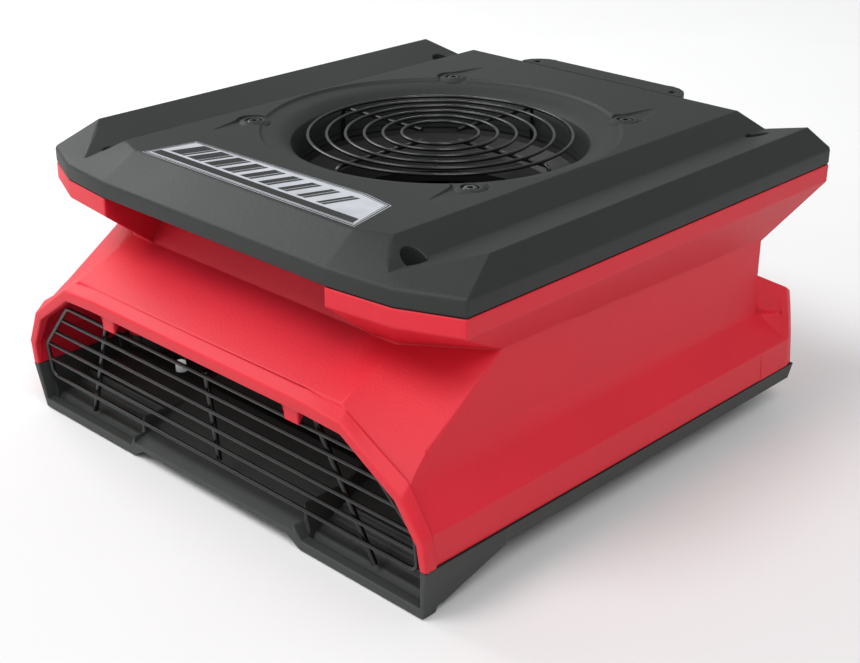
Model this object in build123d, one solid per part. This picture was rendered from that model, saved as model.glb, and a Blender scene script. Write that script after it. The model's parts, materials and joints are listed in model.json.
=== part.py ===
from build123d import *
import os
from math import cos, radians, sin

# Low-profile radial air mover.  Millimetres, +Z up, air blows out towards -Y, +X is the right-hand side.
# While it is drawn, y = 0 is the middle of the lid; save() then moves every piece so that y = 0 is
# the middle of the whole machine, with the feet on z = 0.

# ---- driving dimensions: casing ----
SKIN = 4.0                      # wall of the moulded casings
LID_HALF_WIDTH = 220.0
LID_BACK_Y = 224.0
PARTING_Z = 204.0               # lid meets the red housing
BAND_TOP_Z = 216.5
RIM_Z = 234.0
TOP_Z = 235.0
VALLEY_Z = 221.5
PLATEAU_X = 143.0
VALLEY_X = 163.0
RIM_X = 206.0
RECESS_X = 119.6                # half width of the step under the front of the lid
RED_BAND_Z = 190.0              # bottom of the upright band of the red housing
BASE_TOP_Z = 40.0               # red housing meets the base
BASE_UNDER_Z = 25.5
REAR_Y = 199.0                  # back of the lower body
FOOT_INNER_X = 96.5
LIP_X = 83.0
LIP_Z = 8.5

# ---- driving dimensions: air path ----
AXIS_Y = 10.7                   # impeller, motor and inlet share this upright axis
DISH_R = 141.0
DISH_Z = 232.8
THROAT_R = 113.0
THROAT_Z = 199.0
EYE_R = 86.0                    # inside of the inlet nozzle
WHEEL_R = 118.0
BLADES = 24
BLADE_FOOT_Z = 100.5
BLADE_TOP_Z = 158.4
SCROLL_START_R = 127.0
SCROLL_GROWTH = 0.165           # millimetres of radius for each degree of the spiral
SCROLL_START = -40
SCROLL_END = 180
SCROLL_TOP_Z = 166.0
FLOOR_Z = BASE_UNDER_Z + SKIN

# ---- driving dimensions: hardware ----
GUARD_R = 103.4
GUARD_RINGS = 6
GUARD_PITCH = 14.64
GUARD_Z = 229.0
GUARD_WIRE_R = 1.35
SPOKE_WIRE_R = 1.6
NOZZLE_RIM_Z = 198.7            # the spokes of the guard stand on this rim
GRILLE_WIRE_R = 1.6
GRILLE_WIRES = 6
GRILLE_PITCH = 14.7
GRILLE_KNEE_X = 207.5
GRILLE_KNEE_Z = 61.7
GRILLE_HOOK_X = 102.8
GRILLE_TOP_Z = 104.9
SHAFT_R = 7.0
RUNNING_GAP = 0.05
BOSS_RING_R = 147.5
FACE_LEAN = 0.105               # the outlet face leans forwards by this much for each unit of height
FACE_FOOT_Y = -231.8

SHIFT_Y = 7.135                 # centres the whole machine on y = 0


def face_y(z):
    """Front of the outlet face at a height."""
    return FACE_FOOT_Y - FACE_LEAN * z


def save(part, name):
    export_step(Pos(0, SHIFT_Y, 0) * part, f"parts/{name}.step")


def ring(half):
    """Closed wire through the right-hand corners and their mirror images."""
    left = [(-x, y, z) for x, y, z in reversed(half)]
    return Wire.make_polygon([Vector(*p) for p in half + left], close=True)


def lofted(rings):
    """Straight-sided solid through matching rings of corners."""
    return Solid.make_loft([ring(half) for half in rings], ruled=True)


def across(profile, x0, x1):
    """Prism along X from a (y, z) outline."""
    sketch = Plane.YZ * Polygon(*profile, align=None)
    return Pos(x0, 0, 0) * extrude(sketch, x1 - x0, dir=(1, 0, 0))


def along(profile, y0, y1):
    """Prism along Y from an (x, z) outline."""
    sketch = Plane.XZ * Polygon(*profile, align=None)
    return Pos(0, y0, 0) * extrude(sketch, y1 - y0, dir=(0, 1, 0))


def upright(outline, z0, z1):
    """Prism along Z from an (x, y) outline."""
    return Pos(0, 0, z0) * extrude(Polygon(*outline, align=None), z1 - z0, dir=(0, 0, 1))


def box(x0, x1, y0, y1, z0, z1):
    return Pos((x0 + x1) / 2, (y0 + y1) / 2, (z0 + z1) / 2) * Box(x1 - x0, y1 - y0, z1 - z0)


def disc(r, z0, z1, x=0.0, y=AXIS_Y):
    return Pos(x, y, (z0 + z1) / 2) * Cylinder(r, z1 - z0)


def rod(start, end, r):
    """Straight round bar between two points."""
    line = Line(start, end)
    return sweep(Plane(origin=line @ 0, z_dir=line % 0) * Circle(r), path=line)


def bent_wire(points, r, bend):
    """Round wire through points with bent corners."""
    path = FilletPolyline(*points, radius=bend)
    return sweep(Plane(origin=path @ 0, z_dir=path % 0) * Circle(r), path=path)


def turned(profile):
    """Solid of revolution about the impeller's axis from an (r, z) outline."""
    sketch = Plane.XZ * Polygon(*profile, align=None)
    return Pos(0, AXIS_Y, 0) * revolve(sketch, Axis.Z)


def polar(r, angle, z=0.0):
    return Pos(r * cos(radians(angle)), AXIS_Y + r * sin(radians(angle)), z)


# ---- lid ----
LID_OUTLINE = [(RECESS_X, -224.0), (175.0, -217.5), (LID_HALF_WIDTH, -198.2), (LID_HALF_WIDTH, LID_BACK_Y)]
LID_CROWN = [(117.3, -194.4), (142.0, -184.5), (206.5, -162.6), (205.5, 208.0)]
BOSS_ANGLES = [-38.6, 51.0, 129.0, 218.6]
BOSS_RISE = 2.2
SCREW_SEAT_Z = DISH_Z - 0.6
STACKING_SOCKETS = [(161.0, -183.5), (171.0, 194.0)]
SOCKET_R = 9.2
SOCKET_FLOOR_Z = 206.5
LABEL_OUTLINE = [(-111, -193), (-102.6, -149), (75, -142), (104, -147), (115, -192)]
LABEL_THICKNESS = 0.8
GRIP_HALF_X = 58.0
GRIP_FRONT_Y = 200.0
GRIP_BACK_Y = 226.0
GRIP_FOOT_Z = 150.0
GRIP_TOP_Z = 228.0


def at_height(outline, z):
    return [(x, y, z) for x, y in outline]


def inset(outline, d):
    """Right-hand corners moved in from the sides, front and back."""
    return [(x - d if x > 150 else x - d / 2, y + d if y < 0 else y - d) for x, y in outline]


def lid_form(d):
    """Outer form of the lid, or the hollow inside it when d is the wall."""
    bottom = PARTING_Z - (1.0 if d else 0.0)
    form = lofted([
        at_height(inset(LID_OUTLINE, d), bottom),
        at_height(inset(LID_OUTLINE, d), BAND_TOP_Z - d * 0.6),
        at_height(inset(LID_CROWN, d * 0.6), TOP_Z - d)])
    for side in (-1, 1):
        edge_x = PLATEAU_X - d * 0.5
        groove = [(side * edge_x, TOP_Z + 1), (side * edge_x, TOP_Z - d), (side * VALLEY_X, VALLEY_Z - d),
                  (side * (RIM_X - d * 0.3), RIM_Z - d), (side * 215, TOP_Z + 1)]
        form -= along(groove, -260, 260)
    return form


def fading_ramp(angle):
    """Shallow wedge that fades out from a screw recess towards the front or back edge."""
    place = polar(BOSS_RING_R, angle).position
    away = 1 if place.Y > AXIS_Y else -1
    near, far = place.Y, place.Y + away * 42
    wide = Wire.make_polygon([(place.X - 12, near, DISH_Z), (place.X + 12, near, DISH_Z),
                              (place.X + 12, near, TOP_Z + 3), (place.X - 12, near, TOP_Z + 3)])
    tip = Wire.make_polygon([(place.X - 1, far, TOP_Z), (place.X + 1, far, TOP_Z),
                             (place.X + 1, far, TOP_Z + 3), (place.X - 1, far, TOP_Z + 3)])
    return Solid.make_loft([wide, tip], ruled=True)


def grip_space(d):
    """Hollow for the fingers behind the carrying handle, or the walls round it when d is their thickness."""
    return box(-GRIP_HALF_X - d, GRIP_HALF_X + d, GRIP_FRONT_Y - d, GRIP_BACK_Y, GRIP_FOOT_Z, GRIP_TOP_Z + d)


def top_cover():
    lid = lid_form(0) - lid_form(SKIN)
    dish_outer = turned([(0, THROAT_Z), (THROAT_R + SKIN, THROAT_Z), (THROAT_R + SKIN, 214), (122, 224),
                         (128, TOP_Z - SKIN - 4), (142, TOP_Z - SKIN - 2), (142, TOP_Z - 1), (0, TOP_Z - 1)])
    lid += dish_outer
    bowl = turned([(0, THROAT_Z - 1), (THROAT_R, THROAT_Z - 1), (THROAT_R, 214), (117, 224), (124, 229.5),
                   (132, 231.6), (DISH_R - 2, DISH_Z), (DISH_R, TOP_Z), (DISH_R, TOP_Z + 5), (0, TOP_Z + 5)])
    lid -= bowl
    for angle in BOSS_ANGLES:
        lid -= polar(BOSS_RING_R, angle) * disc(14.0, DISH_Z, TOP_Z + 5, y=0)
        lid -= fading_ramp(angle)
        lid += polar(BOSS_RING_R, angle) * disc(12.0, 222, DISH_Z, y=0)
        lid += polar(BOSS_RING_R, angle, DISH_Z - 0.2 + BOSS_RISE / 2) * Cone(13.0, 8.8, BOSS_RISE)
        lid += polar(BOSS_RING_R, angle) * disc(8.0, PARTING_Z, 224, y=0)
        lid -= polar(BOSS_RING_R, angle) * disc(6.9, SCREW_SEAT_Z, TOP_Z, y=0)
        lid -= polar(BOSS_RING_R, angle) * disc(2.6, 190, TOP_Z, y=0)
    for x, y in STACKING_SOCKETS:
        for side in (-1, 1):
            lid += disc(SOCKET_R + 2.5, PARTING_Z + 0.5, VALLEY_Z + 6, side * x, y) & lid_form(0)
            lid -= disc(SOCKET_R, SOCKET_FLOOR_Z, TOP_Z + 5, side * x, y)
    lid += grip_space(SKIN - 1) & lid_form(0)
    lid -= upright(LABEL_OUTLINE, TOP_Z - LABEL_THICKNESS, TOP_Z + 1)
    return lid - grip_space(0)


def lid_screws():
    seat = SCREW_SEAT_Z
    screw = Pos(0, -AXIS_Y, 0) * turned([(0, 185), (2.5, 185), (2.5, seat), (6.2, seat), (6.2, seat + 1.2),
                                         (4.6, seat + 2.4), (0, seat + 2.4)])
    screw -= Pos(0, 0, seat + 0.9) * extrude(RegularPolygon(2.4, 6), 3, dir=(0, 0, 1))
    return Compound([polar(BOSS_RING_R, a) * screw for a in BOSS_ANGLES])


def label_plate():
    """Plate sunk flush into the lid, so that a machine stacked on top rests flat."""
    return upright(LABEL_OUTLINE, TOP_Z - LABEL_THICKNESS, TOP_Z)


# ---- red housing ----
WAIST_X = 200.0
WAIST_BACK_Y = 165.0
WAIST = [(RECESS_X, -181.6, 156.8), (145.0, -180.6, 157.8), (WAIST_X - 0.6, -141.0, 158.2),
         (WAIST_X - 0.6, WAIST_BACK_Y, 148.0)]
WAIST_INNER = [(100.0, -150.0, 130.0), (130.0, -150.0, 130.0), (180.0, -110.0, 130.0), (180.0, 140.0, 130.0)]
RIDGE_INNER = [(145.5, -181.6, 158.8), (152.3, -235.0, 129.8)]
RIDGE_OUTER = [(WAIST_X, -141.5, 159.0), (202.6, -231.5, 96.6)]
FRONT_SLOPE = [(-182.7, 157.8), (-235.6, 133.6)]
FLARE_TOP_Z = 87.0              # foot of the side wall, where the flare starts
FLARE_FOOT_Z = 64.5


def flank(y, d, wall_end, knee, flare_start, band_top, band_foot):
    """Cross-section of the lower body at y: wall, rounded knee, flare and upright band on both sides."""
    top = 165.0 - d

    def half(s):
        return [Line((s * (wall_end[0] - d), y, top), (s * (wall_end[0] - d), y, wall_end[1])),
                Bezier((s * (wall_end[0] - d), y, wall_end[1]), (s * (knee[0] - d), y, knee[1]),
                       (s * (flare_start[0] - d), y, flare_start[1])),
                Line((s * (flare_start[0] - d), y, flare_start[1]), (s * (band_top[0] - d), y, band_top[1])),
                Line((s * (band_top[0] - d), y, band_top[1]), (s * (band_foot - d), y, BASE_TOP_Z - d))]

    right, left = half(1), half(-1)
    floor = Line(right[-1] @ 1, left[-1] @ 1)
    roof = Line(left[0] @ 0, right[0] @ 0)
    return Wire([e.edge() for e in right + [floor] + left[::-1] + [roof]])


def lower_tube(d):
    front = flank(-235.5 + d, d, (WAIST_X + 0.5, 112.0), (202.6, 97.0),
                  (208.0, 88.0), (220.8, FLARE_FOOT_Z), 221.0)
    rear = flank(WAIST_BACK_Y + 2 - d, d, (WAIST_X, FLARE_TOP_Z + 3), (WAIST_X, FLARE_TOP_Z),
                 (WAIST_X + 2, FLARE_TOP_Z - 2), (221.2, FLARE_FOOT_Z), 221.6)
    return Solid.make_loft([front, rear], ruled=True)


def corner_cutter(side, d):
    """Removes what stands in front of the twisted corner facet."""
    t0, b0 = (Vector(*p) for p in RIDGE_INNER)
    t1, b1 = (Vector(*p) for p in RIDGE_OUTER)
    inward = Vector(-0.62, 0.36, -0.69) * d
    outward = Vector(90, -110, 90)
    wires = []
    for s in (-0.12, 1.25):
        top = t0 + (t1 - t0) * s + inward
        bottom = b0 + (b1 - b0) * s + inward
        run = bottom - top
        high, low = top - run * 0.35, bottom + run * 0.3
        corners = [high, low, low + outward, high + outward]
        wires.append(Wire.make_polygon([Vector(side * p.X, p.Y, p.Z) for p in corners], close=True))
    return Solid.make_loft(wires, ruled=True)


def lower_body(d):
    body = lower_tube(d)
    (y0, z0), (y1, z1) = FRONT_SLOPE
    rise = (z0 - z1) / (y0 - y1)
    drop = d * 1.15
    y0 += d
    y1 -= 30
    above_slope = [(y0, z0 + d * rise - drop), (y1, z1 - 30 * rise - drop), (y1, 260), (y0, 260)]
    body -= across(above_slope, -260, 260)
    for side in (-1, 1):
        body -= corner_cutter(side, d)
    return body


def head(d):
    """Upper part: upright band under the lid and the flare down to the waist."""
    outline = inset(LID_OUTLINE, d)
    waist = [(x - d, y + d if y < 0 else y - d, z - d * 0.4) for x, y, z in WAIST]
    foot = [(x - d, y + d if y < 0 else y - d, z) for x, y, z in WAIST_INNER]
    top_z = PARTING_Z + (1 if d else 0)
    return lofted([at_height(outline, top_z), at_height(outline, RED_BAND_Z), waist, foot])


def recess(d):
    """The step under the front of the lid, between the two corner blocks."""
    low = 157.8 - d * 1.4
    profile = [(-182.7 + d, low), (-149 + d, PARTING_Z + 2), (-300, PARTING_Z + 2), (-300, low)]
    return across(profile, -RECESS_X - d, RECESS_X + d)


FACE_OUTLINE = [(117.4, 128.3), (154.1, 125.9), (204.8, 90.3), (221.6, 61.4), (222.8, BASE_TOP_Z)]
BAND_OUTLINE = [(114.5, 134.4), (151.4, 130.8), (204.6, 98.6), (222.0, 64.5), (222.8, BASE_TOP_Z)]
MOUTH = [(118.0, 118.8), (153.5, 117.2), (198.8, 86.2), (215.1, 58.7), (216.6, BASE_TOP_Z - 1)]
BAND_DEPTH = 10.0


def face_ring(outline, back):
    return [(x, face_y(z) + back, z) for x, z in outline]


def upper_housing():
    shell = (lower_body(0) + head(0)) - recess(0)
    shell += lofted([face_ring(FACE_OUTLINE, 0), face_ring(BAND_OUTLINE, BAND_DEPTH)])
    shell += rear_block(0)
    shell -= (lower_body(SKIN) + head(SKIN)) - recess(SKIN)
    shell -= rear_block(SKIN)
    shell += grip_space(SKIN) & head(0)
    shell -= grip_space(0)
    mouth = [(x, z) for x, z in MOUTH]
    mouth += [(-x, z) for x, z in reversed(MOUTH)]
    shell -= along(mouth, -262, -222)
    shell -= box(-300, 300, -300, 300, -10, BASE_TOP_Z)
    shell -= box(-96, 96, REAR_Y - 12, REAR_Y + 5, 50, PANEL_TOP_Z - 2)
    for x, y in HOUSING_SCREWS:
        shell += disc(9.0, BASE_TOP_Z, 61, x, y) - disc(2.6, BASE_TOP_Z - 1, 58, x, y)
    hook_y, hook_foot_z = face_y(116) + 3, GRILLE_TOP_Z + GRILLE_WIRE_R
    hook = [(hook_y, 122), (hook_y, hook_foot_z), (hook_y + 3, hook_foot_z), (hook_y + 9, 122)]
    for x in (-GRILLE_HOOK_X, GRILLE_HOOK_X):
        shell += across(hook, x - 7, x + 7)
    return shell


# Corners of the rear block at four heights: inside the tube, end of the side wall, outer corner, back.
REAR_BLOCK_RINGS = [
    (BASE_TOP_Z - 2, [(222.0, 150), (222.0, 186), (221.8, 190), (219.6, REAR_Y)]),
    (FLARE_FOOT_Z, [(221.2, 150), (221.2, 186), (221.0, 189.4), (217.5, REAR_Y)]),
    (FLARE_TOP_Z, [(WAIST_X, 150), (WAIST_X, 170), (217.8, 189.4), (214.6, REAR_Y)]),
    (121.0, [(WAIST_X, 150), (WAIST_X, 167), (212.4, 189.2), (208.6, REAR_Y)])]
REAR_SLOPE = [(167.0, 120.0), (REAR_Y + 3, 100.0)]


def rear_block(d):
    """Widened back of the lower body that carries the controls, with a sloping top."""
    form = lofted([
        [(x - d, y - (d if y > 160 else 0), z - (d if z < FLARE_TOP_Z else 0)) for x, y in corners]
        for z, corners in REAR_BLOCK_RINGS])
    (y0, z0), (y1, z1) = REAR_SLOPE
    top = [(y0 - 30, z0 - d), (y0, z0 - d), (y1, z1 - d), (y1, 200), (y0 - 30, 200)]
    return form - across(top, -260, 260)


# ---- base ----
FRONT_LIP_TOP_Z = 13.0
RAMP_SLOPE = 0.38
RAMP_END_Y = -122.0
BASE_HALF_TOP = 222.4
BASE_HALF_UNDER = 219.0
BASE_HALF_FOOT = 216.0
SLOPE_END_Y = -155.4
HOUSING_SCREWS = [(s * 208.5, y) for s in (-1, 1) for y in (-140.0, 15.0, 165.0)]
REAR_FEET = [(-150.0, 160.0), (150.0, 160.0)]


def ramp_z(y):
    """Height of the ramp that leads the air from the scroll out over the front lip."""
    return FRONT_LIP_TOP_Z + RAMP_SLOPE * (y - face_y(FRONT_LIP_TOP_Z))


def base_pan():
    front = face_y(0) - 6
    tray = [(BASE_HALF_UNDER, BASE_UNDER_Z), (BASE_HALF_TOP, BASE_TOP_Z)]
    tray += [(-x, z) for x, z in reversed(tray)]
    pan = along(tray, front, REAR_Y)
    hollow = [(BASE_HALF_UNDER - SKIN, FLOOR_Z), (BASE_HALF_TOP - SKIN, BASE_TOP_Z + 1)]
    hollow += [(-x, z) for x, z in reversed(hollow)]
    trough = [(-224, 4), (-221.5, 4), (-217.5, 9.5), (-213, 9.8), (SLOPE_END_Y, FLOOR_Z),
              (SLOPE_END_Y, 50), (-224, 50)]
    foot = [(front, 0), (-220, 0), (-218.5, 5.5), (-213.5, 5.8), (SLOPE_END_Y, BASE_UNDER_Z),
            (SLOPE_END_Y, 39), (front, 39)]
    middle = [(front, LIP_Z), (-205, LIP_Z), (SLOPE_END_Y, BASE_UNDER_Z), (SLOPE_END_Y, 39), (front, 39)]
    pan += across(middle, -LIP_X - 2, LIP_X + 2)
    for side in (-1, 1):
        outer = [(side * LIP_X, LIP_Z), (side * FOOT_INNER_X, 0), (side * BASE_HALF_FOOT, 0),
                 (side * BASE_HALF_TOP, BASE_TOP_Z), (side * LIP_X, BASE_TOP_Z)]
        pan += across(foot, *sorted((side * LIP_X, side * BASE_HALF_TOP))) & along(outer, front, SLOPE_END_Y)
    pan -= along(hollow, SLOPE_END_Y, REAR_Y - SKIN)
    for side in (-1, 1):
        inner_x = side * (BASE_HALF_TOP - SKIN)
        inner = [(side * 100, 3), (side * 212, 3), (inner_x, BASE_TOP_Z + 1), (side * 90, 41)]
        pan -= across(trough, *sorted((side * 90, side * 220))) & along(inner, front, SLOPE_END_Y + 1)
    lip = face_y(FRONT_LIP_TOP_Z)
    pan -= across([(lip - 8, ramp_z(lip)), (lip, ramp_z(lip)), (SLOPE_END_Y, ramp_z(SLOPE_END_Y)),
                   (SLOPE_END_Y, 50), (lip - 8, 50)], -92, 92)
    ramp = [(SLOPE_END_Y - 1, FLOOR_Z - 2), (SLOPE_END_Y - 1, ramp_z(SLOPE_END_Y - 1)),
            (RAMP_END_Y, ramp_z(RAMP_END_Y)), (RAMP_END_Y, FLOOR_Z - 2)]
    pan += across(ramp, -90, 90)
    under_ramp = [(-215, LIP_Z - 1), (-215, 15.5), (RAMP_END_Y - SKIN, ramp_z(RAMP_END_Y) - SKIN - 1),
                  (RAMP_END_Y - SKIN, LIP_Z - 1)]
    pan -= across(under_ramp, -80, 80)
    sill = [(213.9, 8.0), (216.9, BASE_TOP_Z + 1)]
    for side in (-1, 1):
        opening = sill + [(60, BASE_TOP_Z + 1), (60, 20), (92, 20), (99, 8.5)]
        mouth = [(side * x, z) for x, z in opening]
        pan -= along(mouth, front - 2, -223)
    lean = [(face_y(-1), -1), (face_y(BASE_TOP_Z + 2), BASE_TOP_Z + 2), (-300, BASE_TOP_Z + 2), (-300, -1)]
    pan -= across(lean, -300, 300)
    for side in (-1, 1):
        for y in (-209, -200, -191):
            floor = FLOOR_Z - 0.34 * (SLOPE_END_Y - y)
            pan += box(*sorted((side * 98, side * 212)), y, y + 2.5, floor - 1, floor + 4)
        pan -= Pos(side * 152, -141, FLOOR_Z) * extrude(SlotOverall(34, 9, rotation=35 * side), 10, both=True)
    for x, y in HOUSING_SCREWS:
        pan += disc(9.0, FLOOR_Z - 1, BASE_TOP_Z, x, y)
        pan -= disc(2.9, 20, 50, x, y)
        pan -= disc(6.5, BASE_UNDER_Z - 1, BASE_UNDER_Z + 4.5, x, y)
    for x, y in REAR_FEET:
        pan -= disc(2.7, 20, 50, x, y)
    return pan


def pan_screw(length):
    """Countersunk screw standing on its head, head underneath at z = 0."""
    return disc(5.6, 0, 3.2, y=0) + disc(2.5, 3.2, length, y=0) - box(-0.6, 0.6, -4, 4, -1, 1.4)


def housing_screws():
    return Compound([Pos(x, y, BASE_UNDER_Z + 1.2) * pan_screw(30) for x, y in HOUSING_SCREWS])


def rear_feet():
    made = []
    for x, y in REAR_FEET:
        foot = Pos(x, y, BASE_UNDER_Z / 2) * Cone(17, 22, BASE_UNDER_Z)
        foot -= disc(7.0, -1, 12, x, y)
        foot -= disc(2.7, -1, 40, x, y)
        made.append(foot)
    return Compound(made)


def rear_foot_screws():
    return Compound([Pos(x, y, 8.7) * pan_screw(25) for x, y in REAR_FEET])


# ---- carrying handle ----
HANDLE_BACK_Y = 231.0
HANDLE_OUTLINE = [(86, 204), (85.5, 212), (83, 219), (78, 225), (71, 229.3), (62, HANDLE_BACK_Y)]
HANDLE_POCKET = [(79.5, 200), (79.5, 214), (74, 221.5), (66, 225.4), (60, 226.2)]
HANDLE_DROP = 25.0


def both_sides(half):
    return half + [(-x, y) for x, y in reversed(half)]


def carry_handle():
    foot_z = TOP_Z - HANDLE_DROP
    hood = upright(both_sides(HANDLE_OUTLINE), foot_z, TOP_Z)
    hood -= upright(both_sides(HANDLE_POCKET), foot_z - 1, TOP_Z - 4.5)
    for side in (-1, 1):
        hood -= box(*sorted((side * 70.5, side * 76)), 212, 220, 200, 240)
    hood += upright(both_sides([(64, 224), (60, 228)]), foot_z, foot_z + 3.5)
    return hood - lid_form(0)


# ---- inlet ----
def inlet_nozzle():
    """Deck over the scroll, with the bell mouth that leads the air into the impeller."""
    deck = disc(176, SCROLL_TOP_Z, SCROLL_TOP_Z + 3)
    deck &= box(-176, 176, -118, 182, 100, 250)
    deck += turned([(EYE_R, 160), (EYE_R + 2.4, 160), (EYE_R + 2.4, 168), (EYE_R + 9, 182),
                    (THROAT_R + SKIN, 194), (THROAT_R + SKIN, NOZZLE_RIM_Z), (THROAT_R - 3, NOZZLE_RIM_Z),
                    (THROAT_R - 4, 195), (EYE_R + 5.5, 183.5), (EYE_R, 168)])
    deck -= turned([(0, 100), (EYE_R, 100), (EYE_R, 168), (EYE_R - 1, 174), (0, 174)])
    for angle in BOSS_ANGLES:
        deck += polar(BOSS_RING_R, angle) * disc(8.0, SCROLL_TOP_Z + 2, PARTING_Z, y=0)
        deck -= polar(BOSS_RING_R, angle) * disc(2.6, 180, PARTING_Z + 1, y=0)
    return deck


def inlet_guard():
    parts = []
    for i in range(GUARD_RINGS):
        parts.append(Pos(0, AXIS_Y, GUARD_Z) * Torus(GUARD_R - i * GUARD_PITCH, GUARD_WIRE_R))
    spoke_z = GUARD_Z - 0.75 * (GUARD_WIRE_R + SPOKE_WIRE_R)
    spoke_x = THROAT_R - SPOKE_WIRE_R - 0.4
    for k in range(4):
        corners = [(20, 0, spoke_z), (spoke_x, 0, spoke_z), (spoke_x, 0, NOZZLE_RIM_Z)]
        spoke = bent_wire(corners, SPOKE_WIRE_R, 5)
        parts.append(Pos(0, AXIS_Y, 0) * Rot(0, 0, 90 * k) * spoke)
    return Part() + parts


# ---- air path inside ----
def scroll_r(angle):
    return SCROLL_START_R + SCROLL_GROWTH * (angle - SCROLL_START)


def scroll_wall():
    """Spiral wall round the impeller, with straight guides towards the outlet."""
    def spiral(extra):
        return [polar(scroll_r(a) + extra, a).position for a in range(SCROLL_START, SCROLL_END + 1, 20)]
    outer, inner = spiral(1.5), spiral(-1.5)
    left_x = outer[-1].X
    wire = Wire([Spline(*outer).edge(), Line(outer[-1], (left_x, -112)).edge(),
                 Line((left_x, -112), (left_x + 3, -112)).edge(), Line((left_x + 3, -112), inner[-1]).edge(),
                 Spline(*inner[::-1]).edge(), Line(inner[0], outer[0]).edge()])
    wall = Pos(0, 0, FLOOR_Z) * extrude(Face(wire), SCROLL_TOP_Z - FLOOR_Z, dir=(0, 0, 1))
    tongue = [(92, -66), (102, -70), (180, -128), (178, -131), (92, -72)]
    wall += upright(tongue, FLOOR_Z, 120)
    return wall


def duct_guides():
    """Low guide walls between the scroll and the corners of the outlet."""
    start_x = -scroll_r(SCROLL_END)
    left = upright([(start_x - 1.5, -113), (start_x + 1.5, -113), (-192, -150), (-195, -150)], FLOOR_Z, 84)
    right = upright([(181, -131), (184, -129.5), (199, -150), (196, -150)], FLOOR_Z, 84)
    return Compound([left, right])


def impeller_wheel():
    """Back plate and hub, which carry the blades."""
    wheel = disc(WHEEL_R, 97, BLADE_FOOT_Z) + disc(24, BLADE_FOOT_Z, 126)
    return wheel - disc(SHAFT_R, 90, 130)


def impeller_blades():
    """Backward-curved blades between the back plate and the shroud."""
    start, end, lean = 74.0, WHEEL_R - 1, 38.0
    blade_edge = [polar(start, 0).position, polar((start + end) / 2, -lean * 0.38).position,
                  polar(end, -lean).position]
    back_edge = [polar(end, -lean - 1.2).position, polar((start + end) / 2, -lean * 0.38 - 1.6).position,
                 polar(start, -2.0).position]
    face = Face(Wire([ThreePointArc(*blade_edge).edge(), Line(blade_edge[2], back_edge[0]).edge(),
                      ThreePointArc(*back_edge).edge(), Line(back_edge[2], blade_edge[0]).edge()]))
    blade = Pos(0, -AXIS_Y, BLADE_FOOT_Z) * extrude(face, BLADE_TOP_Z - BLADE_FOOT_Z, dir=(0, 0, 1))
    pitch = 360 / BLADES
    return Compound([Pos(0, AXIS_Y, 0) * Rot(0, 0, pitch * k) * blade for k in range(BLADES)])


def impeller_shroud():
    return turned([(90, BLADE_TOP_Z), (WHEEL_R, BLADE_TOP_Z), (WHEEL_R, 160.6), (93, 160.6),
                   (92.4, 164), (90, 164)])


def drive_shaft():
    return disc(SHAFT_R, 37, 133)


def shaft_nut():
    nut = Pos(0, AXIS_Y, 126) * extrude(RegularPolygon(11, 6), 6, dir=(0, 0, 1))
    return nut - disc(SHAFT_R, 120, 140)


def motor_plate():
    plate = box(-78, 78, AXIS_Y - 78, AXIS_Y + 78, FLOOR_Z, FLOOR_Z + 3)
    for a in (45, 135, 225, 315):
        plate -= polar(96, a, FLOOR_Z) * Cylinder(3.2, 20)
        plate -= polar(50, a, FLOOR_Z) * Cylinder(2.6, 20)
    return plate


def motor_can():
    can = turned([(0, 32.5), (58, 32.5), (62, 36.5), (62, 82), (0, 82)])
    can -= disc(54, 38, 83)
    for k in range(12):
        can += Pos(0, AXIS_Y, 0) * Rot(0, 0, 30 * k) * box(61, 65.5, -1.3, 1.3, 40, 80)
    can += disc(22, 37, 46)
    can -= disc(15, 37, 50)
    can -= disc(SHAFT_R + 1, 30, 40)
    return can


def motor_cap():
    cap = turned([(0, 82), (62, 82), (62, 86), (50, 93), (0, 93)])
    cap -= turned([(0, 81), (54, 81), (54, 84), (44, 89), (0, 89)])
    cap += disc(20, 83, 90)
    cap -= disc(15, 82.9, 91)
    cap -= disc(SHAFT_R + 1, 80, 95)
    return cap


def motor_winding():
    return turned([(30, 47), (52, 47), (53.5, 52), (53.5, 72), (52, 77), (30, 77)])


def motor_bearings():
    race = disc(15, 0, 7.8, y=0) - disc(SHAFT_R + RUNNING_GAP, -1, 9, y=0)
    return Compound([Pos(0, AXIS_Y, z) * race for z in (38.0, 83.0)])


def motor_screws():
    made = []
    for a in (45, 135, 225, 315):
        screw = disc(4.5, FLOOR_Z + 3, FLOOR_Z + 6.2, y=0) + disc(3.0, FLOOR_Z + 0.2, FLOOR_Z + 3.1, y=0)
        made.append(polar(96, a) * screw)
    return Compound(made)


CAPACITOR_XY = (128.0, 172.0)


def capacitor():
    x, y = CAPACITOR_XY
    can = disc(17, FLOOR_Z, 92, x, y)
    for dx in (-6, 6):
        can += disc(3, 92, 99, x + dx, y)
    return can


def capacitor_clip():
    clip = disc(19, 55, 67, *CAPACITOR_XY) - disc(17, 50, 70, *CAPACITOR_XY)
    return clip + box(140, 158, 188.5, 190.5, 55, 67) + box(139, 141, 185, 190.5, 55, 67)


# ---- outlet grille ----
def grille_y(z):
    return face_y(z) + 7.5


def grille_half_width(z):
    """Half length of a grille wire: the arch narrows above the knee."""
    above_knee = max(0.0, z - GRILLE_KNEE_Z)
    return GRILLE_KNEE_X - above_knee * 0.966


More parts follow.
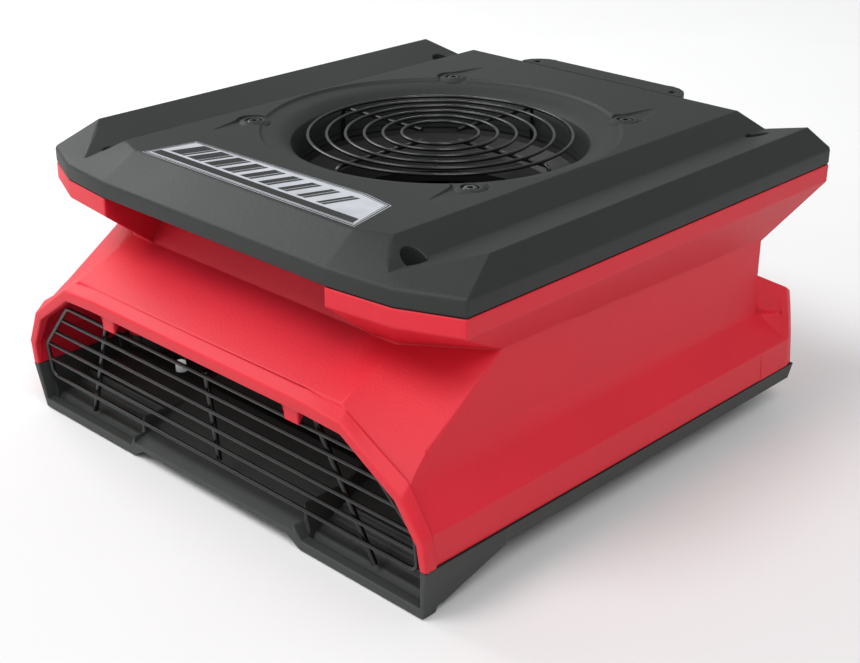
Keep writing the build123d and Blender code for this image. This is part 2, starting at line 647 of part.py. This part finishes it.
def outlet_grille():
    r = GRILLE_WIRE_R
    heights = [GRILLE_TOP_Z - GRILLE_PITCH * i for i in range(GRILLE_WIRES)]
    top, low, knee = heights[0], heights[-1], heights[3]

    def corner(side, z):
        return (side * grille_half_width(z), grille_y(z), z)

    loop = [(0, grille_y(top), top), corner(1, top), corner(1, knee), corner(1, low), (0, grille_y(low), low)]
    frame = bent_wire(loop, r, 7)
    frame += frame.mirror(Plane.YZ)
    for z in heights[1:-1]:
        w = grille_half_width(z)
        frame += rod((-w, grille_y(z) + 0.8, z), (w, grille_y(z) + 0.8, z), r - 0.1)
    return frame


GRILLE_RODS = [((0, 106), (0, 31)), ((116.8, 111), (161.2, 13)), ((-116.8, 111), (-161.2, 13))]


def grille_rods():
    made = []
    for (x0, z0), (x1, z1) in GRILLE_RODS:
        made.append(rod((x0, grille_y(z0) + 4.6, z0), (x1, grille_y(z1) + 4.6, z1), 2.2))
    return Compound(made)


# ---- control panel on the back ----
PANEL_Y = REAR_Y + 3.0
KNOB_XZ = (-68.0, 78.0)
BREAKER_XZ = (-33.0, 64.0)
ROCKER_XZ = (6.0, 62.0)
METER_XZ = (6.0, 84.6)
PANEL_TOP_Z = 99.5
PANEL_SCREWS = [(x, z) for x in (-92, 92) for z in (53, 92.5)]
SOCKET_XZ = (50.0, 77.0)
GLAND_XZ = (84.5, 77.0)
ROCKER_TILT = 8.0


def barrel(r, y0, y1, xz):
    """Round bar along Y."""
    return Pos(xz[0], (y0 + y1) / 2, xz[1]) * Rot(90, 0, 0) * Cylinder(r, y1 - y0)


def block(w, h, y0, y1, xz):
    return Pos(xz[0], (y0 + y1) / 2, xz[1]) * Box(w, y1 - y0, h)


def control_panel():
    panel = box(-100, 100, REAR_Y, PANEL_Y, 46, PANEL_TOP_Z)
    panel = fillet(panel.edges().filter_by(Axis.Y), 5)
    panel += box(-95.5, 95.5, REAR_Y - 3.5, REAR_Y, 50.5, PANEL_TOP_Z - 2.5)
    panel -= barrel(4.2, 190, 210, KNOB_XZ) + barrel(6.2, 190, 210, BREAKER_XZ)
    panel -= barrel(9.2, 190, 210, GLAND_XZ)
    panel -= block(28, 15, 190, 210, ROCKER_XZ) + block(44, 20, 190, 210, METER_XZ)
    panel -= block(36, 30, 190, 210, SOCKET_XZ)
    for xz in PANEL_SCREWS:
        panel -= barrel(2.2, 190, 210, xz)
    return panel


def panel_screws():
    made = []
    for xz in PANEL_SCREWS:
        screw = barrel(4.2, PANEL_Y, PANEL_Y + 2.4, xz) + barrel(2.0, 192, PANEL_Y + 0.1, xz)
        made.append(screw - block(6, 1.1, PANEL_Y + 1.2, PANEL_Y + 3, xz))
    return Compound(made)


def speed_control():
    return barrel(11, 178, REAR_Y - 3.5, KNOB_XZ) + barrel(3.9, REAR_Y - 3.6, PANEL_Y, KNOB_XZ)


def speed_knob():
    knob = barrel(16, PANEL_Y + 0.6, PANEL_Y + 6, KNOB_XZ) + barrel(13.5, PANEL_Y + 6, PANEL_Y + 17, KNOB_XZ)
    for k in range(12):
        a = radians(30 * k + 15)
        flute = (KNOB_XZ[0] + 14.4 * cos(a), KNOB_XZ[1] + 14.4 * sin(a))
        knob -= barrel(1.8, PANEL_Y + 6, PANEL_Y + 18, flute)
    return knob - block(1.6, 9, PANEL_Y + 16, PANEL_Y + 18, (KNOB_XZ[0], KNOB_XZ[1] + 7))


def breaker_body():
    body = barrel(9.5, PANEL_Y, PANEL_Y + 3, BREAKER_XZ) + barrel(6.0, 180, PANEL_Y + 0.1, BREAKER_XZ)
    return body - barrel(4.4, 190, 210, BREAKER_XZ)


def breaker_button():
    return barrel(4.1, PANEL_Y - 4, PANEL_Y + 7, BREAKER_XZ)


def rocker_frame():
    frame = block(32, 19, PANEL_Y, PANEL_Y + 2.5, ROCKER_XZ)
    frame += block(27.6, 14.6, 180, PANEL_Y + 0.1, ROCKER_XZ)
    return frame - block(25, 12, 190, 210, ROCKER_XZ)


def power_rocker():
    x, z = ROCKER_XZ
    outline = [(-11.2, 4.6), (0, 2.4), (11.2, 4.6), (9.5, -4.5), (-9.5, -4.5)]
    sketch = Polygon(*outline, align=None)
    bar = extrude(sketch, 11.2, dir=(0, 0, 1))
    return Pos(x, PANEL_Y, z - 5.6) * Rot(0, 0, ROCKER_TILT) * bar


def hour_meter():
    body = block(48, 24, PANEL_Y, PANEL_Y + 2.5, METER_XZ) + block(43.6, 19.6, 182, PANEL_Y + 0.1, METER_XZ)
    return body - block(38, 14, PANEL_Y - 2, 210, METER_XZ)


def meter_window():
    return block(37.8, 13.8, PANEL_Y - 2, PANEL_Y + 1.2, METER_XZ)


def power_socket():
    body = block(40, 34, PANEL_Y, PANEL_Y + 2.5, SOCKET_XZ) + block(35.6, 29.6, 178, PANEL_Y + 0.1, SOCKET_XZ)
    for dx, h in ((-6.4, 8.0), (6.4, 6.6)):
        body -= block(2.0, h, 190, 210, (SOCKET_XZ[0] + dx, SOCKET_XZ[1] + 3))
    return body - barrel(2.6, 190, 210, (SOCKET_XZ[0], SOCKET_XZ[1] - 6.5))


def cord_gland():
    x, z = GLAND_XZ
    nut = Pos(x, PANEL_Y, z) * extrude(Plane.XZ * RegularPolygon(13, 6), 6, dir=(0, 1, 0))
    body = nut + barrel(9.0, 186, PANEL_Y + 0.1, GLAND_XZ) + barrel(10.5, PANEL_Y + 6, PANEL_Y + 14, GLAND_XZ)
    return body - barrel(5.0, 180, 230, GLAND_XZ)


def main():
    os.makedirs("parts", exist_ok=True)
    casing = [base_pan, housing_screws, rear_feet, rear_foot_screws, upper_housing, top_cover, lid_screws,
              label_plate, carry_handle]
    air_path = [inlet_guard, inlet_nozzle, scroll_wall, duct_guides, outlet_grille, grille_rods]
    drive = [impeller_wheel, impeller_blades, impeller_shroud, drive_shaft, shaft_nut, motor_plate, motor_can,
             motor_cap, motor_winding, motor_bearings, motor_screws, capacitor, capacitor_clip]
    controls = [control_panel, panel_screws, speed_control, speed_knob, breaker_body, breaker_button,
                rocker_frame, power_rocker, hour_meter, meter_window, power_socket, cord_gland]
    for make in casing + air_path + drive + controls:
        save(make(), make.__name__)


main()
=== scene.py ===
import json
import math

import bmesh
import bpy
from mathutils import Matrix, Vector


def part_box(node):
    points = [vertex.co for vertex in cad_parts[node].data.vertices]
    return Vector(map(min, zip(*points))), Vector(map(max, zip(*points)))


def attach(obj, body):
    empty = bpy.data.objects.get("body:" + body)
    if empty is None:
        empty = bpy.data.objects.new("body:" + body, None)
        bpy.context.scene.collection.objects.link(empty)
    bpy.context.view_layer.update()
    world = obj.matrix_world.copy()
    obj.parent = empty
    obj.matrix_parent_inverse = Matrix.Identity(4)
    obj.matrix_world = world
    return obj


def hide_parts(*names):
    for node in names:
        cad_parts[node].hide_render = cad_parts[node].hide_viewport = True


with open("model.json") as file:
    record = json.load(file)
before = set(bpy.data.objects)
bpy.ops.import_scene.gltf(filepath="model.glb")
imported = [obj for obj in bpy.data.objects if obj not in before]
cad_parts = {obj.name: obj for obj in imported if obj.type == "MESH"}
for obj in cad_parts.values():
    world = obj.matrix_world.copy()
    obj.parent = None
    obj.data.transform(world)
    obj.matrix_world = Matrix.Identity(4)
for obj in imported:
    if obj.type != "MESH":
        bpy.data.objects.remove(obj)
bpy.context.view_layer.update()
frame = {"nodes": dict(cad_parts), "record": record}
nodes = frame["nodes"]
MM = 0.001

# The camera: where it stands, which way it looks, and how the picture is framed.
CAMERA_PLACE = (0.7834, -0.8153, 0.5790)
CAMERA_TURN = 44.435
CAMERA_DOWN = 23.997
CAMERA_LENS = 63.57
CAMERA_SHIFT = (0.0236, -0.0153)

# Base colours of the moulded plastics and of the wires' powder coat.
LID_GREY = (0.0180, 0.0212, 0.0188)
BASE_GREY = (0.030, 0.034, 0.0315)
RED = (0.60, 0.0080, 0.023)
WIRE_BLACK = (0.0020, 0.0022, 0.0022)

# Heights of the two joints between the mouldings, and the thin dark line that shows there.
LID_JOINT_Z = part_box("upper_housing")[1][2]
BASE_JOINT_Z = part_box("upper_housing")[0][2]
JOINT_LINE_HALF = 0.45 * MM
JOINT_DARKNESS = 0.12

# Rounded edges: how far round the edge the rounded normal reaches, and the cosine between the flat and the
# rounded normal where the painted edge highlight begins and where it is full.
EDGE_REACH = 1.9 * MM
EDGE_BEGINS, EDGE_FULL = 0.995, 0.90


# ---- materials ----
def new_material(name):
    material = bpy.data.materials.new(name)
    material.use_nodes = True
    tree = material.node_tree
    shader = tree.nodes["Principled BSDF"]
    return material, tree, shader


def node(tree, kind, **values):
    """A new shader node: each value goes to the input of that name, or else to the setting."""
    made = tree.nodes.new(kind)
    for key, value in values.items():
        if key in made.inputs:
            made.inputs[key].default_value = value
        else:
            setattr(made, key, value)
    return made


def object_coords(tree):
    return node(tree, "ShaderNodeTexCoord").outputs["Object"]


def noise(tree, where, scale, detail=3.0, rough=0.5):
    """Cloudy value from 0 to 1, with about this many spots to a metre."""
    made = node(tree, "ShaderNodeTexNoise", Scale=scale, Detail=detail, Roughness=rough)
    tree.links.new(where, made.inputs["Vector"])
    return made.outputs["Fac"]


def ramp(tree, fac, stops):
    made = node(tree, "ShaderNodeValToRGB")
    tree.links.new(fac, made.inputs["Fac"])
    elements = made.color_ramp.elements
    while len(elements) < len(stops):
        elements.new(0.5)
    for element, (place, colour) in zip(elements, stops):
        element.position = place
        element.color = (*colour, 1.0)
    return made.outputs["Color"]


def shade(colour, k):
    return tuple(min(1.0, c * k) for c in colour)


def bump(tree, shader, height, strength, distance):
    made = node(tree, "ShaderNodeBump", Strength=strength, Distance=distance)
    tree.links.new(height, made.inputs["Height"])
    tree.links.new(made.outputs["Normal"], shader.inputs["Normal"])
    return made


def edge_mask(tree):
    """Rounded normal of a moulded edge, and a value that is 1 on the edge and 0 on flat faces, the mask of
    the painted edge highlight.
    """
    rounded = node(tree, "ShaderNodeBevel", Radius=EDGE_REACH, samples=6)
    flat = node(tree, "ShaderNodeNewGeometry")
    match = node(tree, "ShaderNodeVectorMath", operation="DOT_PRODUCT")
    tree.links.new(rounded.outputs["Normal"], match.inputs[0])
    tree.links.new(flat.outputs["Normal"], match.inputs[1])
    mask = node(tree, "ShaderNodeMapRange", clamp=True)
    tree.links.new(match.outputs["Value"], mask.inputs["Value"])
    mask.inputs["From Min"].default_value = EDGE_BEGINS
    mask.inputs["From Max"].default_value = EDGE_FULL
    return rounded.outputs["Normal"], mask.outputs["Result"]


def mix_colour(tree, fac, incoming, fixed):
    made = node(tree, "ShaderNodeMix", data_type="RGBA")
    tree.links.new(fac, made.inputs[0])
    tree.links.new(incoming, made.inputs[6])
    made.inputs[7].default_value = (*fixed, 1.0)
    return made.outputs[2]


def joint_line(tree, where, height):
    """1 within a hair of the joint at this height, 0 elsewhere."""
    apart = node(tree, "ShaderNodeSeparateXYZ")
    tree.links.new(where, apart.inputs[0])
    near = node(tree, "ShaderNodeMath", operation="COMPARE")
    tree.links.new(apart.outputs["Z"], near.inputs[0])
    near.inputs[1].default_value = height
    near.inputs[2].default_value = JOINT_LINE_HALF
    return near.outputs[0]


def grained_plastic(name, colour, roughness, grain_mm=1.7, depth=0.6, edge_highlight=2.0,
                    joints=(), specular=0.42):
    """Moulded plastic with a pebbled leather grain, a painted highlight that lightens the rounded edges,
    and dark joints.
    """
    material, tree, shader = new_material(name)
    where = object_coords(tree)
    pebble = node(tree, "ShaderNodeTexVoronoi", Scale=1.0 / (grain_mm * MM),
                  feature="SMOOTH_F1", Smoothness=0.7)
    tree.links.new(where, pebble.inputs["Vector"])
    fine = noise(tree, where, 1300.0, 3.0, 0.6)
    height = node(tree, "ShaderNodeMath", operation="MULTIPLY_ADD")
    tree.links.new(fine, height.inputs[0])
    height.inputs[1].default_value = 0.35
    tree.links.new(pebble.outputs["Distance"], height.inputs[2])
    grain = bump(tree, shader, height.outputs[0], depth, 0.16 * MM)
    edge_normal, highlight_on_edge = edge_mask(tree)
    tree.links.new(edge_normal, grain.inputs["Normal"])
    cloud = noise(tree, where, 9.0, 3.0, 0.55)
    tone = ramp(tree, cloud, [(0.25, shade(colour, 0.95)), (0.75, shade(colour, 1.05))])
    # Painted highlight: the rounded edges are made lighter in patches, standing in for light that the
    # rounding catches.
    patchy_highlight = node(tree, "ShaderNodeMath", operation="MULTIPLY")
    tree.links.new(highlight_on_edge, patchy_highlight.inputs[0])
    tree.links.new(noise(tree, where, 150.0, 3.0, 0.6), patchy_highlight.inputs[1])
    tone = mix_colour(tree, patchy_highlight.outputs[0], tone, shade(colour, edge_highlight))
    for height_z in joints:
        tone = mix_colour(tree, joint_line(tree, where, height_z), tone, shade(colour, JOINT_DARKNESS))
    tree.links.new(tone, shader.inputs["Base Color"])
    gloss = node(tree, "ShaderNodeMapRange")
    tree.links.new(cloud, gloss.inputs["Value"])
    gloss.inputs["To Min"].default_value = roughness - 0.05
    gloss.inputs["To Max"].default_value = roughness + 0.07
    tree.links.new(gloss.outputs["Result"], shader.inputs["Roughness"])
    shader.inputs["Specular IOR Level"].default_value = specular
    return material


def smooth_plastic(name, colour, roughness, clear=0.0):
    material, tree, shader = new_material(name)
    where = object_coords(tree)
    cloud = noise(tree, where, 40.0)
    tone = ramp(tree, cloud, [(0.3, shade(colour, 0.88)), (0.7, shade(colour, 1.1))])
    tree.links.new(tone, shader.inputs["Base Color"])
    bump(tree, shader, noise(tree, where, 1500.0, 2.0), 0.08, 0.1 * MM)
    shader.inputs["Roughness"].default_value = roughness
    shader.inputs["Coat Weight"].default_value = clear
    return material


def coated_wire(name):
    """Black powder-coated wire: nearly smooth, with a soft gloss."""
    material, tree, shader = new_material(name)
    where = object_coords(tree)
    tone = ramp(tree, noise(tree, where, 120.0),
                [(0.3, shade(WIRE_BLACK, 0.7)), (0.7, shade(WIRE_BLACK, 1.5))])
    tree.links.new(tone, shader.inputs["Base Color"])
    bump(tree, shader, noise(tree, where, 2200.0, 3.0), 0.15, 0.08 * MM)
    shader.inputs["Roughness"].default_value = 0.42
    shader.inputs["Specular IOR Level"].default_value = 0.25
    shader.inputs["Coat Weight"].default_value = 0.55
    shader.inputs["Coat Roughness"].default_value = 0.04
    return material


def metal(name, colour, roughness):
    """Bare metal with fine lines drawn out along its height."""
    material, tree, shader = new_material(name)
    where = object_coords(tree)
    stretch = node(tree, "ShaderNodeMapping", Scale=(1.0, 1.0, 14.0))
    tree.links.new(where, stretch.inputs["Vector"])
    lines = noise(tree, stretch.outputs["Vector"], 260.0, 4.0, 0.6)
    tone = ramp(tree, lines, [(0.3, shade(colour, 0.75)), (0.7, colour)])
    tree.links.new(tone, shader.inputs["Base Color"])
    bump(tree, shader, lines, 0.25, 0.05 * MM)
    shader.inputs["Metallic"].default_value = 1.0
    shader.inputs["Roughness"].default_value = roughness
    return material


def rubber(name):
    material, tree, shader = new_material(name)
    where = object_coords(tree)
    tone = ramp(tree, noise(tree, where, 60.0), [(0.3, (0.012, 0.012, 0.012)), (0.7, (0.03, 0.03, 0.03))])
    tree.links.new(tone, shader.inputs["Base Color"])
    bump(tree, shader, noise(tree, where, 700.0), 0.3, 0.2 * MM)
    shader.inputs["Roughness"].default_value = 0.8
    return material


def clear_window(name):
    material, tree, shader = new_material(name)
    where = object_coords(tree)
    bump(tree, shader, noise(tree, where, 90.0), 0.05, 0.05 * MM)
    tone = ramp(tree, noise(tree, where, 30.0), [(0.3, (0.10, 0.12, 0.11)), (0.7, (0.14, 0.16, 0.15))])
    tree.links.new(tone, shader.inputs["Base Color"])
    shader.inputs["Roughness"].default_value = 0.08
    shader.inputs["Coat Weight"].default_value = 1.0
    return material


def make_materials():
    return {
        # The grained plastics carry a painted highlight on their rounded edges, weaker on the red than on
        # the lid and base.
        "lid_plastic": grained_plastic("lid_plastic", LID_GREY, 0.52, joints=[LID_JOINT_Z], specular=0.32),
        "base_plastic": grained_plastic("base_plastic", BASE_GREY, 0.58, joints=[BASE_JOINT_Z]),
        "red_plastic": grained_plastic("red_plastic", RED, 0.50, depth=0.45, edge_highlight=1.3,
                                       joints=[LID_JOINT_Z, BASE_JOINT_Z]),
        "black_plastic": smooth_plastic("black_plastic", (0.006, 0.006, 0.0065), 0.42),
        "panel_plastic": grained_plastic("panel_plastic", (0.018, 0.019, 0.019), 0.5,
                                         grain_mm=0.8, depth=0.3),
        "label_film": smooth_plastic("label_film", (0.50, 0.52, 0.56), 0.28, clear=0.4),
        "black_screw": metal("black_screw", (0.05, 0.05, 0.052), 0.26),
        "knob_plastic": smooth_plastic("knob_plastic", (0.015, 0.015, 0.016), 0.38),
        "button_plastic": smooth_plastic("button_plastic", (0.70, 0.06, 0.03), 0.35),
        "rocker_plastic": smooth_plastic("rocker_plastic", (0.62, 0.03, 0.03), 0.3, clear=0.3),
        "socket_plastic": smooth_plastic("socket_plastic", (0.03, 0.03, 0.03), 0.35),
        "black_wire": coated_wire("black_wire"),
        "zinc_screw": metal("zinc_screw", (0.55, 0.56, 0.58), 0.3),
        "plate_steel": metal("plate_steel", (0.45, 0.46, 0.47), 0.4),
        "bright_steel": metal("bright_steel", (0.62, 0.62, 0.63), 0.25),
        "motor_paint": smooth_plastic("motor_paint", (0.02, 0.021, 0.023), 0.4),
        "copper_winding": metal("copper_winding", (0.55, 0.25, 0.09), 0.4),
        "capacitor_case": smooth_plastic("capacitor_case", (0.6, 0.6, 0.57), 0.35),
        "foot_rubber": rubber("foot_rubber"),
        "clear_window": clear_window("clear_window"),
    }


materials = make_materials()
slot_of = {row["node"]: row["material_slot"] for row in frame["record"]["subparts"]}


def paint_nodes():
    for name, piece in nodes.items():
        piece.data.materials.clear()
        piece.data.materials.append(materials[slot_of[name]])


paint_nodes()


# ---- rounding of the moulded edges ----
EDGE_ROUNDING = {"top_cover": 1.8, "upper_housing": 1.5, "base_pan": 1.2, "carry_handle": 1.2}
SHORTEST_EDGE = 10.0 * MM
SHARP_ANGLE = math.radians(22.0)
SHADED_SMOOTH_BELOW = math.radians(26)
ROOM_BESIDE = 1.6               # of the rounding's width, for the shortest edge next to it


def long_sharp_edges(mesh, width):
    """Edges with room for a rounding: long, sharp, and with no short edge at either end."""
    chosen = []
    for edge in mesh.edges:
        if len(edge.link_faces) != 2 or edge.calc_length() < SHORTEST_EDGE:
            continue
        if edge.calc_face_angle(0.0) < SHARP_ANGLE:
            continue
        beside = [other.calc_length() for end in edge.verts for other in end.link_edges]
        if min(beside) > ROOM_BESIDE * width:
            chosen.append(edge)
    return chosen


def rounded_copy(name, width_mm):
    """Stands for a CAD piece, with its long moulded edges rounded as a mould leaves them."""
    source = nodes[name]
    mesh = bmesh.new()
    mesh.from_mesh(source.data)
    bmesh.ops.remove_doubles(mesh, verts=mesh.verts, dist=0.01 * MM)
    bmesh.ops.dissolve_limit(mesh, angle_limit=math.radians(0.4), verts=mesh.verts, edges=mesh.edges)
    bmesh.ops.triangulate(mesh, faces=[face for face in mesh.faces if len(face.verts) > 4])
    width = width_mm * MM
    bmesh.ops.bevel(mesh, geom=long_sharp_edges(mesh, width), offset=width, segments=3,
                    profile=0.5, affect="EDGES", clamp_overlap=False)
    for face in mesh.faces:
        face.smooth = True
    for edge in mesh.edges:
        edge.smooth = edge.is_manifold and edge.calc_face_angle(0.0) < SHADED_SMOOTH_BELOW
    shape = bpy.data.meshes.new(name + "_rounded")
    mesh.to_mesh(shape)
    mesh.free()
    shape.materials.append(source.data.materials[0])
    piece = bpy.data.objects.new(name + "_rounded", shape)
    bpy.context.scene.collection.objects.link(piece)
    normals = piece.modifiers.new("even_light", "WEIGHTED_NORMAL")
    normals.keep_sharp = True
    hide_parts(name)
    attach(piece, "body")


for piece_name, rounding in EDGE_ROUNDING.items():
    rounded_copy(piece_name, rounding)


# ---- printing on the label and the control panel ----
def prisms(name, outlines, place, thickness, slot_name, body="body"):
    """Thin printed shapes: place(u, v, w) turns an outline's millimetres into a point in metres."""
    mesh = bmesh.new()
    for outline in outlines:
        low = [mesh.verts.new(place(u, v, 0.0)) for u, v in outline]
        high = [mesh.verts.new(place(u, v, thickness)) for u, v in outline]
        mesh.faces.new(low[::-1])
        mesh.faces.new(high)
        for i in range(len(outline)):
            j = (i + 1) % len(outline)
            mesh.faces.new((low[i], low[j], high[j], high[i]))
    bmesh.ops.recalc_face_normals(mesh, faces=mesh.faces)
    shape = bpy.data.meshes.new(name)
    mesh.to_mesh(shape)
    mesh.free()
    shape.materials.append(materials[slot_name])
    piece = bpy.data.objects.new(name, shape)
    bpy.context.scene.collection.objects.link(piece)
    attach(piece, body)


def bar(u, v, width, height, slant=0.0):
    return [(u, v), (u + width, v), (u + width + slant, v + height), (u + slant, v + height)]


def strip_round(corners, margin_outer, margin_inner, width, height):
    """Quads between two copies of an outline, each drawn in by a margin from the label's box."""
    def drawn_in(margin):
        return [(width / 2 + (u - width / 2) * (1 - 2 * margin / width),
                 height / 2 + (v - height / 2) * (1 - 2 * margin / height)) for u, v in corners]
    outer, inner = drawn_in(margin_outer), drawn_in(margin_inner)
    count = len(corners)
    return [[outer[i], outer[(i + 1) % count], inner[(i + 1) % count], inner[i]] for i in range(count)]


PRINT = 0.12                    # thickness of printed shapes, in millimetres like all printing
SUNK = PRINT / 3                # how deep they reach into the surface they are printed on
LABEL_CORNERS = [(0.0, 0.0), (0.037, 0.863), (0.823, 1.0), (0.951, 0.902), (1.0, 0.02)]
LABEL_BARS, BAR_STEP, BAR_SLANT = 9, 20, 9
DARK_BAR_WIDTH, BAR_THINNING, GREY_BAR_WIDTH = 12.5, 1.1, 3.4
METER_WHEELS, WHEEL_STEP = 5, 6.0


def label_art():
    """Plain pattern: two border lines, a dark foot and slanted bars that thin out to the right."""
    low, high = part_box("label_plate")
    width, height = (high[0] - low[0]) / MM, (high[1] - low[1]) / MM
    corners = [(u * width, v * height) for u, v in LABEL_CORNERS]

    def on_label(u, v, w):
        return (low[0] + u * MM, low[1] + v * MM, high[2] + (w - SUNK) * MM)

    lines = strip_round(corners, 0.6, 1.9, width, height) + strip_round(corners, 2.9, 3.4, width, height)
    prisms("label_border", lines, on_label, PRINT, "black_plastic")
    foot = [(5, 5), (6.5, 13), (width - 8, 13), (width - 5.5, 5)]
    prisms("label_foot", [foot], on_label, PRINT, "black_plastic")
    dark = [bar(13 + BAR_STEP * k, 16, DARK_BAR_WIDTH - BAR_THINNING * k, height - 26, BAR_SLANT)
            for k in range(LABEL_BARS)]
    grey = [bar(26.5 + BAR_STEP * k - BAR_THINNING * k, 16, GREY_BAR_WIDTH, height - 26, BAR_SLANT)
            for k in range(LABEL_BARS)]
    prisms("label_bars_dark", dark, on_label, PRINT, "black_plastic")
    prisms("label_bars_grey", grey, on_label, PRINT, "motor_paint")


def on_panel(centre_x, centre_z, face_y):
    """Places printed shapes on a surface that faces backwards, seen upright from behind."""
    return lambda u, v, w: (centre_x - u * MM, face_y + (w - SUNK) * MM, centre_z + v * MM)


def middle(name):
    low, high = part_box(name)
    return (low[0] + high[0]) / 2, (low[2] + high[2]) / 2, high[1]


def ring_bar(angle, inner, outer, half):
    """Short radial bar of a dial, clockwise from the top."""
    sine, cosine = math.sin(math.radians(angle)), math.cos(math.radians(angle))
    return [(r * sine + side * half * cosine, r * cosine - side * half * sine)
            for r, side in ((inner, -1), (inner, 1), (outer, 1), (outer, -1))]


def panel_printing():
    face_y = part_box("control_panel")[1][1]
    knob_x, knob_z, knob_y = middle("speed_knob")
    ticks = [ring_bar(angle, 17.3, 19.6, 0.35) for angle in range(-135, 136, 27)]
    prisms("dial_ticks", ticks, on_panel(knob_x, knob_z, face_y), PRINT, "label_film")
    pointer = on_panel(knob_x, knob_z, knob_y - 1.0 * MM)
    prisms("knob_pointer", [bar(-0.65, 2.8, 1.3, 8.4)], pointer, 0.5, "label_film", body="knob")
    meter_x, meter_z, window_y = middle("meter_window")
    on_meter = on_panel(meter_x, meter_z, window_y)
    wheels = [bar(-14.6 + WHEEL_STEP * k, -4.2, 5.0, 8.4) for k in range(METER_WHEELS)]
    prisms("meter_wheels", wheels, on_meter, PRINT, "label_film")
    digits = []
    for u in [-13.7 + WHEEL_STEP * k for k in range(METER_WHEELS)]:
        digits += [bar(u, -3.0, 0.8, 6.0), bar(u + 2.4, -3.0, 0.8, 6.0),
                   bar(u, 3.0, 3.2, 0.8), bar(u, -3.8, 3.2, 0.8)]
    on_wheels = on_panel(meter_x, meter_z, window_y + PRINT * MM)
    prisms("meter_digits", digits, on_wheels, PRINT, "black_plastic")


label_art()
panel_printing()


# ---- studio ----
FLOOR_LIGHT, FLOOR_DARK = (0.75, 0.75, 0.75), (0.73, 0.73, 0.73)
SKY_COLOUR, SKY_STRENGTH = (0.97, 0.98, 1.0, 1), 0.40
# Far lights: where they stand, their spread in degrees and their strength.
FAR_LIGHTS = {
    "key": ((-0.6, -1.3, 2.0), 28, 1.40),
    "low": ((-0.5, -2.0, 0.45), 45, 0.75),
    "right": ((1.3, -0.7, 1.9), 30, 1.35),
}
# Near lights, aimed at the object: where they stand, their size and their power.
NEAR_LIGHTS = {
    "sheen": ((-1.7, -0.3, 1.25), (1.2, 1.0), 18),
    "glint": ((-0.8, 0.9, 0.9), (0.08, 0.08), 0.30),
}
NEAR_AIM = (0, 0, 0.2)


def place_camera():
    data = bpy.data.cameras.new("camera")
    data.lens = CAMERA_LENS
    data.sensor_width = 36.0
    data.shift_x, data.shift_y = CAMERA_SHIFT
    data.clip_end = 50.0
    camera = bpy.data.objects.new("camera", data)
    camera.location = CAMERA_PLACE
    camera.rotation_euler = (math.radians(90 - CAMERA_DOWN), 0, math.radians(CAMERA_TURN))
    bpy.context.scene.collection.objects.link(camera)
    bpy.context.scene.camera = camera


def area_light(name, place, size, power):
    data = bpy.data.lights.new(name, "AREA")
    data.shape = "RECTANGLE"
    data.size, data.size_y = size
    data.energy = power
    light = bpy.data.objects.new(name, data)
    light.location = place
    light.rotation_euler = (Vector(NEAR_AIM) - Vector(place)).to_track_quat("-Z", "Y").to_euler()
    bpy.context.scene.collection.objects.link(light)


def far_light(name, place, spread, strength):
    """Soft light from far away, even over the whole floor."""
    data = bpy.data.lights.new(name, "SUN")
    data.angle = math.radians(spread)
    data.energy = strength
    light = bpy.data.objects.new(name, data)
    light.location = place
    light.rotation_euler = Vector(place).to_track_quat("Z", "Y").to_euler()
    bpy.context.scene.collection.objects.link(light)


def build_studio():
    bpy.ops.mesh.primitive_plane_add(size=30, location=(0, 0, -0.0005))
    floor = bpy.context.object
    floor.name = "floor"
    material, tree, shader = new_material("floor")
    where = object_coords(tree)
    tone = ramp(tree, noise(tree, where, 3.0), [(0.3, FLOOR_DARK), (0.7, FLOOR_LIGHT)])
    tree.links.new(tone, shader.inputs["Base Color"])
    shader.inputs["Roughness"].default_value = 0.9
    floor.data.materials.append(material)
    world = bpy.data.worlds.new("world")
    bpy.context.scene.world = world
    world.use_nodes = True
    sky = world.node_tree.nodes["Background"]
    sky.inputs["Color"].default_value = SKY_COLOUR
    sky.inputs["Strength"].default_value = SKY_STRENGTH
    for name, settings in FAR_LIGHTS.items():
        far_light(name, *settings)
    for name, settings in NEAR_LIGHTS.items():
        area_light(name, *settings)


def set_colours():
    view = bpy.context.scene.view_settings
    view.view_transform = "Standard"
    view.look = "None"


set_colours()
place_camera()
build_studio()
bpy.context.view_layer.update()
